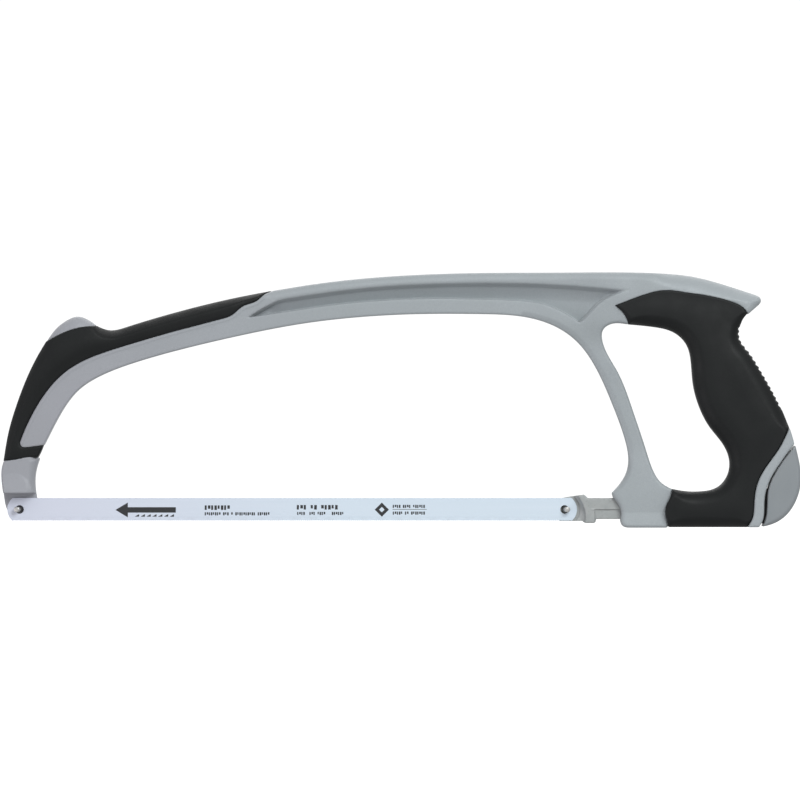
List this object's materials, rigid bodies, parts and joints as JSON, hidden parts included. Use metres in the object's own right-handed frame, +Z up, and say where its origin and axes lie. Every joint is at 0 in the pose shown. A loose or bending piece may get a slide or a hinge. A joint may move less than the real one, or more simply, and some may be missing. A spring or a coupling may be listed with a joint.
{
  "type": "hacksaw",
  "caption": "High-tension hacksaw: cast bow frame with moulded grips, a pinned fine-tooth blade, a sliding drawbar and a heel lever that slackens it.",
  "frame": {"origin": "middle of the saw's bounding box, at the level of the handle's flat underside", "axes": "+X from the nose to the heel of the handle, +Z up; the blade is mounted on the side that faces -Y"},
  "size_m": [0.4395, 0.032, 0.1404],
  "materials": {
    "cast_frame": "fine-textured satin silver-grey paint",
    "grip_rubber": "soft matte moulded rubber",
    "lever_cover": "smooth satin grey",
    "cast_drawbar": "cast, slightly rough",
    "hardened_steel": "turned and hardened",
    "zinc_steel": "bright zinc plated",
    "spring_steel": "dark spring wire",
    "blade_paint": "pale blue-white paint",
    "blade_edge": "ground teeth"
  },
  "bodies": {
    "frame": {"frame_casting": "cast_frame", "front_grip": "grip_rubber", "handle_grip": "grip_rubber", "front_blade_pin": "hardened_steel", "pivot_pin": "hardened_steel", "spring_washer": "zinc_steel", "release_spring": "spring_steel"},
    "lever": {"cam_plate_left": "zinc_steel", "cam_plate_right": "zinc_steel", "lever_spacer": "zinc_steel", "lever_rivets": "zinc_steel", "lever_cover": "lever_cover"},
    "drawbar": {"drawbar": "cast_drawbar", "rear_blade_pin": "hardened_steel", "tension_rod": "zinc_steel", "lock_nut": "zinc_steel", "lock_washer": "zinc_steel", "draw_link": "hardened_steel", "cam_pin": "hardened_steel"},
    "blade": {"blade_back": "blade_paint", "tooth_strip": "blade_edge"}
  },
  "joints": [
    {"name": "lever_pivot", "type": "hinge", "parent": "frame", "child": "lever", "pos_m": [0.185, 0, 0.0105], "axis": [0, 1, 0], "range_deg": [0, 75]},
    {"name": "drawbar_slide", "type": "slide", "parent": "frame", "child": "drawbar", "axis": [-1, 0, 0], "range_m": [0, 0.0028], "deforming": ["release_spring"]},
    {"name": "blade_slack", "type": "slide", "parent": "frame", "child": "blade", "axis": [-1, 0, 0], "range_m": [0, 0.0014]}
  ],
  "couplings": [
    {"joint": "drawbar_slide", "follows": "lever_pivot", "m_per_rad": 0.002139},
    {"joint": "blade_slack", "follows": "lever_pivot", "m_per_rad": 0.0010695}
  ]
}
